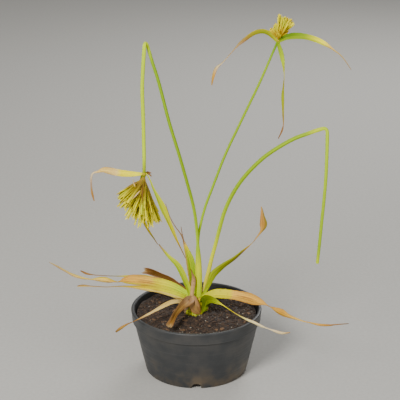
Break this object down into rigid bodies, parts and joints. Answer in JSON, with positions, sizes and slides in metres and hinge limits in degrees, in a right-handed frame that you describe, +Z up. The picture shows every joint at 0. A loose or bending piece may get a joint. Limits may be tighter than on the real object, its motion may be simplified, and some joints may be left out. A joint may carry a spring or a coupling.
{
  "type": "potted dense flat-sedge",
  "caption": "Clump-forming water-garden sedge with folded flower stems, arching keeled leaves and spikelet heads, planted in a plain round plastic pan.",
  "frame": {"origin": "centre of the pot's underside, where it stands on the ground", "axes": "+Z up along the pot's axis, +X to the right of the front view, +Y away from the front view"},
  "size_m": [0.3272, 0.1483, 0.3956],
  "materials": {
    "pot": "matte moulded plastic",
    "soil": "moist compost with fine grit",
    "crown": "matte shoot bases",
    "culm": "smooth satin stem",
    "spikelets": "dry papery scales",
    "leaf": "satin leaf drying to straw",
    "dark_leaf": "satin green leaf",
    "dead_leaf": "dry fibrous leaf",
    "bract": "satin bract drying to straw"
  },
  "bodies": {
    "root": {"bract_hanging_left": "bract", "bract_hanging_right": "bract", "bract_hanging_stub": "dead_leaf", "bract_hanging_thin": "bract", "bract_top_drooping": "bract", "bract_top_left": "bract", "bract_top_right": "bract", "crown": "crown", "culm_bent": "culm", "culm_folded": "culm", "culm_upright": "culm", "flower_head_hanging": "spikelets", "flower_head_top": "spikelets", "leaf_dark_front": "dark_leaf", "leaf_dry_behind": "dead_leaf", "leaf_dry_front": "dead_leaf", "leaf_left_behind": "leaf", "leaf_left_broad": "leaf", "leaf_left_low": "leaf", "leaf_left_pale": "leaf", "leaf_left_rising": "leaf", "leaf_right_broad": "leaf", "leaf_right_rising": "leaf", "leaf_sheath_centre": "leaf", "leaf_split_tip": "leaf", "leaf_withered_front": "dead_leaf", "pot": "pot", "soil": "soil"}
  },
  "joints": []
}
